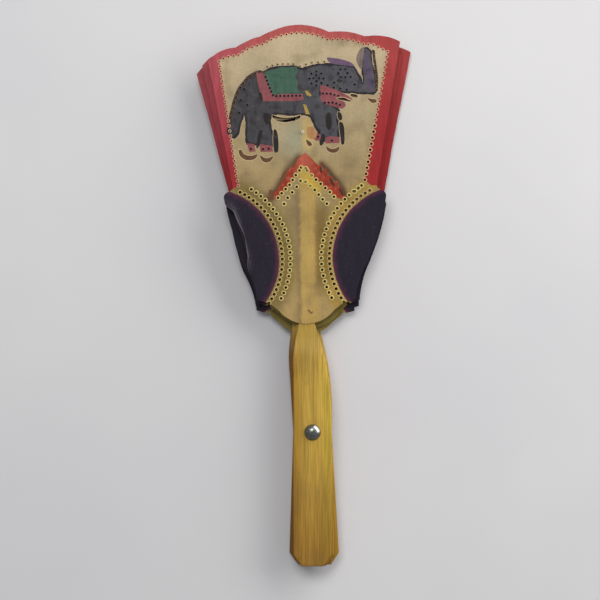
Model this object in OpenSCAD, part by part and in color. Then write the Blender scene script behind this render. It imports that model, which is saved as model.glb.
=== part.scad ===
// Folding hand fan: five bamboo sticks turn on one rivet, and each carries a stiff rawhide leaf.
// The origin is on the rivet's axis, at the flat end of its tail. +Y runs up the closed fan,
// +X to the right as seen from the front, and +Z is the front. Blade 1 is the front one.

/* [Blades] */
// Clear gap between one stick and the next in the stack
blade_gap = 0.1; // [0.05:0.05:0.3]
// Turn of each blade about the rivet with the fan closed, from the front
blade_turns = [0, 1.2, 3.4, -0.6, -1.8]; // [-4:0.1:4]
// Turn of each leaf on its own stick, from the front
leaf_turns = [0.8, 1.0, 1.4, 0.6, 0.9]; // [-2:0.1:2]
// Distance that each leaf sits below the height of the front one
leaf_drops = [0, 0.7, 2.3, 5.7, 3]; // [-0.5:0.1:6.5]
// Sideways offset of each leaf's middle from its handle's middle, from the front
leaf_shifts = [-2.2, -0.7, 4.9, -3.5, -2.2]; // [-4:0.1:6.5]

/* [Stick] */
// Width of the handle
handle_w = 20; // [18:0.5:24]
// Thickness of the handle
handle_t = 2; // [1.8:0.1:3]
// Length of the handle below the rivet
butt_len = 69.5; // [50:0.5:90]
// Width and height of the cut at each corner of the butt
butt_cut = [4.5, 6]; // [2:0.5:8]
// Height above the rivet at which the left edge starts to narrow
left_shoulder_y = 30; // [20:1:36]
// Height above the rivet at which the right edge starts to narrow
right_shoulder_y = 4; // [-10:1:20]
// Height of the neck, where the handle becomes the tongue
neck_y = 57; // [54:0.5:60]
// Width of the neck
neck_w = 8.2; // [6:0.1:10]
// Sideways offset of the neck and tongue from the handle's middle
tongue_shift = -3.1; // [-4:0.1:0]
// Width of the tongue at its tip
tongue_tip_w = 5; // [4:0.1:6]
// Height of the tongue's tip above the rivet
tongue_tip_y = 172; // [162:1:180]
// Thickness of the tongue behind the leaf
tongue_t = 0.9; // [0.8:0.1:1.2]

/* [Leaf] */
// Thickness of the rawhide
hide_t = 0.5; // [0.3:0.1:0.5]
// Half width at the foot of the straight sides
side_foot_x = 37.3; // [35:0.1:39]
// Height of the foot of the straight sides above the rivet
side_foot_y = 126.8; // [126:0.1:128]
// Furthest half width of the side lobes
lobe_x = 42.1; // [41:0.1:44]
// Radius of the lobe's rounded top corner
lobe_tip_r = 3.1; // [2:0.1:4]
// Half width at the bottom end of the side lobes
lobe_foot_x = 25.5; // [24:0.1:27]
// Radius of the rounded lip at the bottom
lip_r = 18.2; // [17:0.1:19]
// Height of the lip's lowest point above the rivet
lip_y = 56.3; // [55:0.1:58]
// Angle by which the front leaf's left lobe is curled up
curl = 38; // [5:1:50]

/* [Ties] */
// Place of the upper tie on the blade, across and above the rivet
upper_tie = [-5.2, 155.6]; // [-5.5:0.1:160]
// Place of the lower tie's first hole on the blade
lower_tie = [-0.4, 61.8]; // [-5:0.1:66]
// Radius of the cord of the upper tie
peg_r = 0.5; // [0.3:0.05:0.6]
// Radius of the thread of the lower tie
thread_r = 0.3; // [0.2:0.05:0.35]
// Clearance around a tie in its holes
tie_play = 0.05; // [0.02:0.01:0.1]

/* [Rivet] */
// Radius of the domed head
head_r = 4.15; // [3.5:0.05:5]
// Height of the domed head
head_h = 2.3; // [1.5:0.1:3]
// Radius of the shank
shank_r = 1.6; // [1.2:0.1:2]
// Radial clearance between the shank and the bores
pivot_play = 0.05; // [0.02:0.01:0.1]
// Radius of the flattened tail
tail_r = 3; // [2.5:0.1:3.5]
// Thickness of the flattened tail
tail_t = 0.5; // [0.4:0.1:1]
// Radius of the rear washer
washer_r = 5; // [4:0.1:6]
// Thickness of the rear washer
washer_t = 0.5; // [0.4:0.1:1]

/* [Hidden] */
$fn = 64;
BLADES = 5;

// The stack, from the back
pitch = handle_t + blade_gap;
stack_z = tail_t + washer_t;
head_z = stack_z + BLADES * pitch - blade_gap + pivot_play;
leaf_top = tongue_t + hide_t;
cut_extra = 1;

// The stick's long outline
hw = handle_w / 2;
neck_left = tongue_shift - neck_w / 2;
neck_right = tongue_shift + neck_w / 2;
// The handle thins to the tongue over this slope, which ends just below the lowest leaf
scarf_run = 11;
scarf_top = lip_y - max(leaf_drops) - 0.5;
scarf_y = [scarf_top - scarf_run, scarf_top];
throat_left = [neck_left - 0.4, neck_y - 3];
throat_right = [neck_right + 2.7, neck_y - 8.6];

// The leaf's crown: five scallops between these corners, each with its own rise
crown = [[-49.3, 193], [-34, 200], [-20.5, 205.8], [13.5, 207.5], [32.5, 204.7], [50.4, 201.8]];
crown_rise = [2, 1, 4.7, 1.3, 1.8];
crown_steps = 8;
// The lobe's outer edge runs hollow and then full, between these points
lobe_mid = [32, 88];
lobe_foot_y = 68.8;
lip_shoulder = [19.5, 67.2];
lip_turn = 50;
// The curled part of the front leaf lies left of a straight fold, which ends by the notch
fold_foot = [-22.5, 68];
fold_head = [0.4 - side_foot_x, side_foot_y];
// The round bend is a little thinner than the hide, so that its sides stay inside both faces
bend_d = 0.94 * hide_t;

// Ties
knot_r = 1.1;
knot_t = 0.35;
rear_knot_t = 0.15;
stitch_run = [-1.7, 1.8];

// Height of the back of blade k's stick
function blade_z(k) = stack_z + (BLADES - k) * pitch;

// Points on the arc from p to q that rises by rise to the left of the line, without q
function arc_points(p, q, rise, n) =
    let (
        chord = norm(q - p),
        along = (q - p) / chord,
        across = [-along[1], along[0]],
        r = (chord * chord / 4 + rise * rise) / (2 * abs(rise)),
        half = asin(min(1, chord / 2 / r)),
        centre = (p + q) / 2 + across * sign(rise) * (abs(rise) - r)
    )
    [for (i = [0:n - 1])
        let (a = half * (1 - 2 * i / n))
        centre + r * (-sin(a) * along + sign(rise) * cos(a) * across)];

// Points of a round corner
function corner_points(centre, r, from, to, n) =
    [for (i = [0:n]) let (a = from + (to - from) * i / n) centre + r * [cos(a), sin(a)]];

function flip(points) = [for (i = [len(points) - 1:-1:0]) [-points[i][0], points[i][1]]];

// The crown runs from left to right
crown_points = [for (i = [0:len(crown) - 2])
    each arc_points(crown[i], crown[i + 1], crown_rise[i], crown_steps)];

// The right side below the crown, from the foot of the straight side to the lip's middle
lobe_tip = [lobe_x - lobe_tip_r, side_foot_y - 1.5 - lobe_tip_r];
right_points = concat(
    [[side_foot_x, side_foot_y]],
    corner_points(lobe_tip, lobe_tip_r, 85, -14, 6),
    arc_points(lobe_tip + lobe_tip_r * [cos(-14), sin(-14)], lobe_mid, 1.4, 6),
    arc_points(lobe_mid, [lobe_foot_x, lobe_foot_y], -1, 4),
    [[lobe_foot_x, lobe_foot_y], lip_shoulder],
    corner_points([0, lip_y + lip_r], lip_r, -90 + lip_turn, -90, 6)
);
leaf_points = concat(crown_points, [crown[len(crown) - 1]], right_points, flip(right_points));

// The stick from the left of its butt, clockwise
stick_points = concat(
    [[-hw + butt_cut[0], -butt_len], [-hw, -butt_len + butt_cut[1]]],
    arc_points([-hw, left_shoulder_y], throat_left, 1, 6),
    [throat_left, [neck_left, neck_y], [tongue_shift - tongue_tip_w / 2, tongue_tip_y]],
    [[tongue_shift + tongue_tip_w / 2, tongue_tip_y], [neck_right, neck_y]],
    arc_points(throat_right, [hw, right_shoulder_y], 1.7, 8),
    [[hw, right_shoulder_y], [hw, -butt_len + butt_cut[1]], [hw - butt_cut[0], -butt_len]]
);

// Puts a piece of blade k in its place in the closed fan
module on_blade(k) {
    translate([0, 0, blade_z(k)])
        rotate(blade_turns[k - 1])
            children();
}

// Puts a leaf's outline on its stick
module on_tongue(k) {
    translate([leaf_shifts[k - 1], -leaf_drops[k - 1], tongue_t])
        rotate(leaf_turns[k - 1])
            children();
}

// Every hole that the ties pass through, cleared by play
module tie_holes(play) {
    translate([upper_tie[0], upper_tie[1], -cut_extra])
        cylinder(r = peg_r + play, h = leaf_top + 2 * cut_extra);
    for (p = [lower_tie, lower_tie + stitch_run])
        translate([p[0], p[1], -cut_extra])
            cylinder(r = thread_r + play, h = leaf_top + 2 * cut_extra);
}

// Thickness of the stick seen from its side: full at the handle, thinned to the tongue
module stick_side() {
    far_y = tongue_tip_y + cut_extra;
    translate([-hw - cut_extra, 0, 0])
        rotate([90, 0, 90])
            linear_extrude(handle_w + 2 * cut_extra)
                polygon([
                    [-butt_len - cut_extra, 0],
                    [far_y, 0],
                    [far_y, tongue_t],
                    [scarf_y[1], tongue_t],
                    [scarf_y[0], handle_t],
                    [-butt_len - cut_extra, handle_t]
                ]);
}

module stick(k) {
    color([0.69, 0.55, 0.27])
        on_blade(k)
            difference() {
                intersection() {
                    linear_extrude(handle_t) polygon(stick_points);
                    stick_side();
                }
                translate([0, 0, -cut_extra])
                    cylinder(r = shank_r + pivot_play, h = handle_t + 2 * cut_extra);
                tie_holes(tie_play);
            }
}

// Everything to the left of the fold, as a block that turns with the fold
module beyond_fold() {
    run = fold_head - fold_foot;
    translate([fold_foot[0], fold_foot[1], -cut_extra])
        rotate(atan2(run[1], run[0]))
            translate([-3 * cut_extra, 0, 0])
                cube([norm(run) + 3 * cut_extra, lobe_x, hide_t + 2 * cut_extra]);
}

// Turns a piece up about the fold by the given angle
module about_fold(angle) {
    run = fold_head - fold_foot;
    turn = atan2(run[1], run[0]);
    translate([fold_foot[0], fold_foot[1], hide_t / 2])
        rotate(turn)
            rotate([angle, 0, 0])
                rotate(-turn)
                    translate([-fold_foot[0], -fold_foot[1], -hide_t / 2])
                        children();
}

module blank() {
    linear_extrude(hide_t) polygon(leaf_points);
}

// The flat blank with its left lobe lifted along the fold, and a round bend between the two
module curled_blank() {
    run = fold_head - fold_foot;
    difference() {
        blank();
        beyond_fold();
    }
    about_fold(curl)
        intersection() {
            blank();
            beyond_fold();
        }
    translate([fold_foot[0], fold_foot[1], hide_t / 2])
        rotate(atan2(run[1], run[0]))
            rotate([0, 90, 0])
                translate([0, 0, cut_extra])
                    cylinder(d = bend_d, h = norm(run) - 2 * cut_extra);
}

module leaf(k) {
    color([0.72, 0.62, 0.43])
        on_blade(k)
            difference() {
                on_tongue(k)
                    if (k == 1) curled_blank();
                    else blank();
                tie_holes(tie_play);
            }
}

// A knotted cord through the leaf and the tongue
module upper_tie(k) {
    color([0.80, 0.74, 0.58])
        on_blade(k)
            translate([upper_tie[0], upper_tie[1], 0]) {
                translate([0, 0, -rear_knot_t])
                    cylinder(r = knot_r, h = rear_knot_t);
                cylinder(r = peg_r, h = leaf_top);
                translate([0, 0, leaf_top])
                    cylinder(r1 = knot_r, r2 = peg_r, h = knot_t);
            }
}

// One run of the stitch's thread along a face
module stitch_bar(h) {
    for (p = [[0, 0], stitch_run])
        translate([p[0], p[1], 0]) cylinder(r = thread_r, h = h);
    rotate(atan2(stitch_run[1], stitch_run[0]))
        translate([0, -thread_r, 0])
            cube([norm(stitch_run), 2 * thread_r, h]);
}

// A stitch through two holes of the leaf and the tongue
module lower_tie(k) {
    color([0.45, 0.33, 0.18])
        on_blade(k)
            translate([lower_tie[0], lower_tie[1], 0]) {
                for (p = [[0, 0], stitch_run])
                    translate([p[0], p[1], 0]) cylinder(r = thread_r, h = leaf_top);
                translate([0, 0, -rear_knot_t]) stitch_bar(rear_knot_t);
                translate([0, 0, leaf_top]) stitch_bar(knot_t);
            }
}

// Domed head, shank and flattened tail in one piece
module rivet() {
    ball_r = (head_r * head_r + head_h * head_h) / (2 * head_h);
    color([0.62, 0.64, 0.66]) {
        intersection() {
            translate([0, 0, head_z + head_h - ball_r]) sphere(r = ball_r);
            translate([0, 0, head_z]) cylinder(r = head_r + cut_extra, h = head_h + cut_extra);
        }
        cylinder(r = shank_r, h = head_z + pivot_play);
        cylinder(r = tail_r, h = tail_t);
    }
}

module rear_washer() {
    color([0.68, 0.69, 0.70])
        translate([0, 0, tail_t])
            difference() {
                cylinder(r = washer_r, h = washer_t);
                translate([0, 0, -cut_extra])
                    cylinder(r = shank_r + pivot_play, h = washer_t + 2 * cut_extra);
            }
}

for (k = [1:BLADES]) {
    stick(k);
    leaf(k);
    upper_tie(k);
    lower_tie(k);
}
rivet();
rear_washer();
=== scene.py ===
import math

import bpy
import numpy as np
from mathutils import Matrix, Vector, noise
from mathutils.geometry import delaunay_2d_cdt


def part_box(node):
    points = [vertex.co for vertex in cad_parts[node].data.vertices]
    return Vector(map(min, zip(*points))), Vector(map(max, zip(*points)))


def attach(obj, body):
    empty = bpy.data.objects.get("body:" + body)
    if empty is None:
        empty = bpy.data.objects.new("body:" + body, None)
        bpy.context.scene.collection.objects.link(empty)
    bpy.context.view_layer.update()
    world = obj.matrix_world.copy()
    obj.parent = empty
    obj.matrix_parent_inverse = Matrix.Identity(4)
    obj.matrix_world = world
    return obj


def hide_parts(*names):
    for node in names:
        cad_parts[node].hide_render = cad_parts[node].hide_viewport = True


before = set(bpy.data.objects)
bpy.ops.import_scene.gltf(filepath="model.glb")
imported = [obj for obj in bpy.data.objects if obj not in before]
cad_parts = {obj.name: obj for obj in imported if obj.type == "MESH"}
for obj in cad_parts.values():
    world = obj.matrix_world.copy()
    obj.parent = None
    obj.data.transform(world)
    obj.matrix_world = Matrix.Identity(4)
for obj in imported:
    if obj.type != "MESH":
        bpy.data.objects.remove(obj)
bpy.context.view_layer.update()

MM = 0.001
# Vector noise takes its offsets from the clock unless it is given a seed
noise.seed_set(7)
BLADES = 5

# The sizes of the leaf, the stick, the ties and the rivet, the same as in part.scad
HIDE_T = 0.5
LEAF_TURNS = [0.8, 1.0, 1.4, 0.6, 0.9]
LEAF_DROPS = [0, 0.7, 2.3, 5.7, 3]
LEAF_SHIFTS = [-2.2, -0.7, 4.9, -3.5, -2.2]
CROWN = [(-49.3, 193), (-34, 200), (-20.5, 205.8), (13.5, 207.5), (32.5, 204.7), (50.4, 201.8)]
CROWN_RISE = [2, 1, 4.7, 1.3, 1.8]
SIDE_FOOT = (37.3, 126.8)
LOBE_TIP = (39, 122.2)
LOBE_TIP_R = 3.1
LOBE_MID = (32, 88)
LOBE_FOOT = (25.5, 68.8)
LIP_SHOULDER = (19.5, 67.2)
LIP_R = 18.2
LIP_Y = 56.3
FOLD_FOOT = (-22.5, 68)
FOLD_HEAD = (-36.9, 126.8)
HANDLE_W = 20
HANDLE_T = 2
BUTT_Y = -69.5
BUTT_CUT = (4.5, 6)
LEFT_SHOULDER_Y = 30
RIGHT_SHOULDER_Y = 4
THROAT_LEFT = (-7.6, 54)
THROAT_RIGHT = (3.7, 48.4)
NECK = (-7.2, 1.0, 57)
TONGUE_TIP = (-5.6, -0.6, 172)
TONGUE_T = 0.9
SCARF_Y = (39.1, 50.1)
UPPER_TIE = (-5.2, 155.6)
LOWER_TIE = [(-0.4, 61.8), (-2.1, 63.6)]
PEG_R = 0.5
THREAD_R = 0.3
TIE_PLAY = 0.05
BORE_R = 1.65
SHANK_R = 1.6
TAIL_R = 3
TAIL_T = 0.5
HEAD_H = 2.3
LEAF_TOP = TONGUE_T + HIDE_T
# Where the lobe's tip starts and ends, and how far its outer edge bows out and then in
TIP_ANGLES = (85, -14)
LOBE_RISES = (1.4, -1)


# ---------------------------------------------------------------- lines in the plane

def arc(p, q, rise, n):
    """Points on the arc from p to q that rises by rise to the left of the line, without q."""
    p, q = np.array(p, float), np.array(q, float)
    chord = np.linalg.norm(q - p)
    along = (q - p) / chord
    across = np.array([-along[1], along[0]])
    side = math.copysign(1, rise)
    r = (chord * chord / 4 + rise * rise) / (2 * abs(rise))
    half = math.asin(min(1, chord / 2 / r))
    centre = (p + q) / 2 + across * side * (abs(rise) - r)
    angles = [half * (1 - 2 * i / n) for i in range(n)]
    return [tuple(centre + r * (side * math.cos(a) * across - math.sin(a) * along)) for a in angles]


def corner(centre, r, start, end, n):
    """Points of a round corner, from one angle to another in degrees."""
    angles = [math.radians(start + (end - start) * i / n) for i in range(n + 1)]
    return [(centre[0] + r * math.cos(a), centre[1] + r * math.sin(a)) for a in angles]


def circle(centre, r, n):
    return corner(centre, r, 0, 360 - 360 / n, n - 1)


def mirrored(points):
    return [(-x, y) for x, y in reversed(points)]


def divided(points, step, closed=True):
    """The same line with every long edge cut into pieces no longer than step."""
    ends = points[1:] + points[:1] if closed else points[1:]
    line = []
    for (ax, ay), (bx, by) in zip(points, ends):
        pieces = max(1, math.ceil(math.hypot(bx - ax, by - ay) / step))
        line += [(ax + (bx - ax) * i / pieces, ay + (by - ay) * i / pieces) for i in range(pieces)]
    return line if closed else line + [points[-1]]


def smooth(points, closed=True, cuts=4):
    """A soft curve through the points, in the plane or in space."""
    n = len(points)
    spans = n if closed else n - 1
    pts = [np.array(p, float) for p in points]
    line = []
    for i in range(spans):
        if closed:
            a, b, c, d = (pts[(i + k - 1) % n] for k in range(4))
        else:
            a, b, c, d = (pts[min(max(i + k - 1, 0), n - 1)] for k in range(4))
        for j in range(cuts):
            t = j / cuts
            bend = 2 * a - 5 * b + 4 * c - d
            cubic = 3 * b - a - 3 * c + d
            line.append(tuple(b + 0.5 * t * (c - a + t * (bend + t * cubic))))
    return line if closed else line + [tuple(pts[-1])]


def row(points, pitch):
    """Places at even steps of about pitch along a line, both ends included."""
    pts = np.array(points, float)
    lengths = np.linalg.norm(np.diff(pts, axis=0), axis=1)
    along = np.concatenate([[0], np.cumsum(lengths)])
    count = max(2, round(along[-1] / pitch) + 1)
    stops = np.linspace(0, along[-1], count)
    return list(zip(np.interp(stops, along, pts[:, 0]), np.interp(stops, along, pts[:, 1])))


def wobbled(points, amount, scale, seed):
    """The points moved by a smooth random field, so that a line looks drawn by hand."""
    moved = []
    for x, y in points:
        shift = noise.noise_vector(Vector((x / scale, y / scale, seed)))
        moved.append((x + amount * shift.x, y + amount * shift.y))
    return moved


def clockwise(loop):
    """A closed line, turned round if it runs counter-clockwise."""
    area = sum(ax * by - bx * ay for (ax, ay), (bx, by) in zip(loop, loop[1:] + loop[:1]))
    return loop[::-1] if area > 0 else loop


def inset(loop, depth):
    """A closed clockwise line moved inwards by depth."""
    pts = np.array(loop)
    ahead, behind = np.roll(pts, -1, axis=0), np.roll(pts, 1, axis=0)
    run = ahead - behind
    run /= np.linalg.norm(run, axis=1)[:, None]
    return [tuple(p) for p in pts + depth * np.stack([run[:, 1], -run[:, 0]], axis=1)]


def strip(line, half):
    """The edge of a band along an open line, half wide to each side."""
    pts = np.array(smooth(line, closed=False, cuts=3))
    run = np.gradient(pts, axis=0)
    run /= np.linalg.norm(run, axis=1)[:, None]
    side = half * np.stack([-run[:, 1], run[:, 0]], axis=1)
    return [tuple(p) for p in np.concatenate([pts + side, (pts - side)[::-1]])]


def inside(points, loop):
    """Which of the points lie inside a closed line. Only those in its own box are tested in full."""
    edge = np.array(loop)
    near = np.all((points >= edge.min(axis=0)) & (points <= edge.max(axis=0)), axis=1)
    x, y = points[near, 0], points[near, 1]
    crossed = np.zeros(len(x), bool)
    for (ax, ay), (bx, by) in zip(loop, loop[1:] + loop[:1]):
        if ay != by:
            spans = (ay > y) != (by > y)
            crossed ^= spans & (x < (bx - ax) * (y - ay) / (by - ay) + ax)
    hit = np.zeros(len(points), bool)
    hit[near] = crossed
    return hit


def distance(points, line, closed=False):
    """How far each of the points lies from a line."""
    ends = line[1:] + line[:1] if closed else line[1:]
    best = np.full(len(points), 1e9)
    for a, b in zip(line, ends):
        a, b = np.array(a, float), np.array(b, float)
        run = b - a
        t = np.clip((points - a) @ run / max(run @ run, 1e-9), 0, 1)
        best = np.minimum(best, np.linalg.norm(points - a - t[:, None] * run, axis=1))
    return best


def ramp(value, low, high):
    """0 below low and 1 above high, with a soft step between them."""
    t = np.clip((value - low) / (high - low), 0, 1)
    return t * t * (3 - 2 * t)


def between(value, low, full, fading, high):
    """1 from full to fading, and 0 below low and above high."""
    return ramp(value, low, full) * (1 - ramp(value, fading, high))


def field(points, scale, seed):
    """Smooth noise at each of the points, about -1 to 1."""
    return np.array([noise.noise(Vector((x / scale, y / scale, seed))) for x, y in points])


# ---------------------------------------------------------------- outlines

def leaf_outline():
    """The leaf's edge, clockwise from the left of its crown."""
    crown = []
    for a, b, rise in zip(CROWN, CROWN[1:], CROWN_RISE):
        crown += arc(a, b, rise, 12)
    start, end = TIP_ANGLES
    tip = corner(LOBE_TIP, LOBE_TIP_R, start, end, 10)
    upper, lower = LOBE_RISES
    right = [SIDE_FOOT] + tip + arc(tip[-1], LOBE_MID, upper, 10) + arc(LOBE_MID, LOBE_FOOT, lower, 8)
    right += [LOBE_FOOT, LIP_SHOULDER] + corner((0, LIP_Y + LIP_R), LIP_R, -40, -90, 14)
    return crown + [CROWN[-1]] + right + mirrored(right[:-1])


def stick_outline():
    """The stick's edge, clockwise from the left of its butt."""
    hw = HANDLE_W / 2
    cut_x, cut_y = BUTT_CUT
    left = [(cut_x - hw, BUTT_Y), (-hw, BUTT_Y + cut_y)]
    left += arc((-hw, LEFT_SHOULDER_Y), THROAT_LEFT, 1, 8) + [THROAT_LEFT, (NECK[0], NECK[2])]
    tip = [(TONGUE_TIP[0], TONGUE_TIP[2]), (TONGUE_TIP[1], TONGUE_TIP[2])]
    right = [(NECK[1], NECK[2])] + arc(THROAT_RIGHT, (hw, RIGHT_SHOULDER_Y), 1.7, 12)
    return left + tip + right + [(hw, RIGHT_SHOULDER_Y), (hw, BUTT_Y + cut_y), (hw - cut_x, BUTT_Y)]


# ---------------------------------------------------------------- the leaf's painted design
# Every place is in millimetres in the leaf's own plane, as on the outline above.

LOBE_CENTRE_X = 51.4
LOBE_CENTRE_Y = 90
LOBE_ARC_R = 37.5
BORDER_FOOT_LEFT = (-34.6, 128.3)
BORDER_FOOT_RIGHT = (31.2, 130.5)
BORDER_TOP_LEFT = (-43.5, 193)
BORDER_TOP_RIGHT = (43.9, 196.8)
BORDER_MID_RIGHT = (37.2, 161.6)
CROWN_BORDER = 4.3

# The chevron: its outer edge is soft on the left and flamed on the right
CHEVRON_LEFT = [
    (0.5, 145), (-3, 142.4), (-6, 139), (-9, 135.4), (-10.5, 132.4), (-12.5, 129.4), (-14, 126.4),
    (-16.5, 124), (-18.2, 121.6)
]
CHEVRON_RIGHT = [
    (2.5, 143.2), (5, 140.4), (7.4, 138), (8.6, 139.4), (9.2, 135.8), (11.6, 136.6), (12, 132.8),
    (14.4, 132.4), (14.4, 129), (17.2, 130.4), (17, 126.6), (19.2, 127), (19, 123.2), (21, 122.4)
]
CHEVRON_FEET = [(19.8, 120.3), (-17, 120.8)]
CHEVRON_ROW_LEFT = [(-1.8, 137.3), (-4.2, 134.1), (-8.3, 127.9), (-11.6, 124.7), (-14, 121.8)]
CHEVRON_ROW_RIGHT = [(0.6, 136.8), (3.2, 133.4), (7.8, 129.1), (13.1, 124.2), (15, 121.9)]
CHEVRON_APEX = (-0.7, 138)
BRIGHT_BAND = [(0, 134), (3, 130.6), (6.6, 127)]
SECOND_ROW_LEFT = [(-2.2, 130.4), (-4.3, 127.2), (-8.8, 122), (-10.9, 118.6)]
SECOND_ROW_RIGHT = [(0.4, 129.8), (5.1, 125.6), (9, 120.8), (11.3, 118.4)]

# The elephant, in parts that are painted one over the other
ELEPHANT = [
    (-20.5, 187), (-25, 186.5), (-29.8, 183), (-33.3, 178.5), (-35.6, 172.5), (-37.3, 166.5),
    (-38.8, 160.5), (-39.4, 156.5), (-37.6, 154), (-35.8, 153.3), (-34.2, 155.2), (-33.4, 160),
    (-31, 165.8), (-29.8, 161.5), (-30, 155), (-29.4, 150), (-24.2, 149.8), (-16.4, 148.4),
    (-16.4, 155), (-17.5, 160), (-17, 164.6), (-12, 165.3), (-5, 164.8), (0.8, 164.9), (3.8, 163),
    (5.4, 159.2), (7.6, 156), (8.5, 150), (12, 152), (17, 151.4), (18, 156), (17.4, 162),
    (18.4, 166.8), (13, 170), (9.2, 173), (9, 177.2), (15.8, 177), (23.5, 175.8), (32.5, 175.4),
    (37.6, 175.8), (37, 182), (35.8, 190), (34.8, 197), (32.4, 199), (30.8, 196.4), (30.6, 190.5),
    (31.3, 183), (30.6, 181), (28.8, 184.8), (26, 189), (19.5, 190.3), (12.6, 190.6), (5, 190.1),
    (-0.8, 188.3), (-3, 189.4), (-11.8, 189.8), (-17, 188.6)
]
SADDLE_CLOTH = [
    (-20.6, 187), (-15, 188.4), (-11.9, 189.5), (-3.3, 189.6), (-2.6, 187), (-4.4, 184.6),
    (-2.8, 181.6), (-3.8, 178.6), (-1.5, 176.2), (-9, 175.7), (-15.9, 175.4), (-18.4, 180.8)
]
CLOTH_TRIM_SIDE = [
    (-24.4, 186.6), (-20.8, 187), (-18.6, 180.8), (-16, 175.4), (-16.4, 172.2), (-21.2, 172.4),
    (-22.6, 177), (-23.8, 182)
]
CLOTH_TRIM_FOOT = [(-17.8, 175.2), (-9, 175.6), (-0.8, 175.6), (0.2, 172.6), (-4, 171.8), (-21, 172)]
TRUNK = [
    (32.4, 199), (34.8, 197), (35.8, 190), (37, 182), (37.2, 176), (33, 175.6), (31, 179),
    (31.4, 184), (30.8, 190.5), (31, 196.6)
]
TRUNK_STRIPE = [(33.2, 197), (34.2, 190), (35, 182), (35.4, 177), (34.2, 177), (33.4, 183), (32.6, 190)]
TRUNK_LEAF = [
    (31.8, 199.6), (29, 197.4), (27.6, 193.6), (28.4, 190.2), (30.4, 187.6), (30.8, 191.5),
    (31.4, 196)
]
JAW_UPPER = [
    (9, 179.6), (12.4, 178.9), (18.6, 176.6), (24.9, 172.8), (24.1, 171), (15.8, 173.6), (9.2, 175.4)
]
JAW_LOWER = [
    (9, 175.8), (13.6, 174.6), (19.9, 171.8), (21.8, 169.6), (19.8, 167.6), (13, 169.4), (9.2, 171.6)
]
HEADDRESS = [
    (12.4, 194.2), (16, 193.8), (20.2, 193), (24.4, 191.6), (26.4, 189.4), (19.5, 190.2), (15.3, 191),
    (13, 192.2)
]
COLLAR_GAPS = [
    [(0.6, 177.2), (2, 177), (4.4, 174.8), (3.6, 174), (1.6, 174.8)],
    [(-0.3, 170.2), (1.2, 169.8), (3.2, 164.8), (1, 165)],
]
RED_FEET = [
    [(-29.6, 150.2), (-26, 149.9), (-25.4, 145.9), (-28.6, 145.7)],
    [(-23.2, 149.9), (-16.7, 148.6), (-16.4, 145.7), (-22.8, 145.7)],
    [(10.8, 152.6), (14, 153.4), (18.2, 152.8), (18.2, 149.8), (11, 149.6)],
    [(5.6, 155.4), (8.4, 154.6), (9.4, 151.4), (6, 151.2), (4.6, 152.6)],
]
ORANGE_FOOT = [(1.6, 157.6), (3.4, 158.6), (5.4, 157.6), (6.6, 154.6), (5, 152), (2, 153)]
# The toes are painted brown inside a bare rim and not cut: the brown is painted shade, the shaded hide that
# an opening would show
TOES = [
    [(-34, 146.6), (-33.4, 143.8), (-31, 142), (-28, 141.6), (-25.2, 142.6), (-24.2, 144.6),
     (-26.8, 143.9), (-29.6, 144), (-31.6, 145), (-32.6, 147)],
    [(-23, 144), (-22, 141.4), (-19.8, 140.3), (-17.4, 141), (-16.2, 143.4), (-18.4, 142.6),
     (-20.6, 142.6)],
    [(11.2, 148.4), (12, 145.8), (15, 144.8), (17.6, 145.8), (18.2, 148), (15.8, 147), (13.4, 147)],
    [(1, 151.8), (1.8, 149), (3.2, 148.2), (4, 149.4), (2.8, 151)],
    [(33, 173), (35, 172.4), (37.6, 172), (37.6, 170.6), (35.2, 170.4)],
]
EYE = [(17.4, 182.4), (18.8, 182.8), (20.4, 181.8), (19, 181), (17.6, 181.4)]
# Openings cut right through the hide, under the belly and beside the jaw
CUTS = [
    [(-16.2, 164.7), (-14, 163.9), (-9.2, 163.2), (-4, 163.8), (-1.9, 164.5), (-2.4, 162.6),
     (-5.6, 161.5), (-9.4, 161), (-13.2, 161.5), (-15.8, 162.9)],
    [(24.4, 175.1), (27.6, 174.5), (28, 173.4), (26, 173.3), (24.8, 174)],
    [(20.9, 173.2), (24.4, 171.7), (24.6, 171.2), (22, 171.5), (17.6, 172.6), (18, 173.2)],
]
# Spots of painted shade between the chevron's flames, where the hide is not cut
FLAME_SPOTS = [
    [(8, 137.6), (8.7, 137.4), (9, 134.6), (8.4, 134.2), (7.7, 135.6)],
    [(12.9, 131.4), (13.8, 131.2), (15.6, 127.8), (14.8, 127.4), (13, 129.6)],
    [(17.7, 126.2), (18.6, 126), (20, 122.8), (19.4, 122.2), (18, 124.4)],
]
# Paler spots of painted shade along the chevron's soft left edge
EDGE_SPOTS = [
    [(-18.6, 125.4), (-17.4, 126), (-16.2, 123.8), (-16.4, 121), (-18, 121), (-18.9, 123)],
    [(-12.4, 132.4), (-10.4, 135.8), (-8.8, 135.6), (-10.2, 132.2), (-11.8, 129.8), (-12.9, 130.6)],
    [(-6.8, 138.8), (-5, 141.4), (-3.8, 141.8), (-3.8, 140.6), (-6, 137.6)],
]
FLAME_TIPS = [(8.8, 139), (11.8, 136), (14.8, 132), (17.4, 129.6), (19.4, 126.2), (21, 122)]
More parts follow.
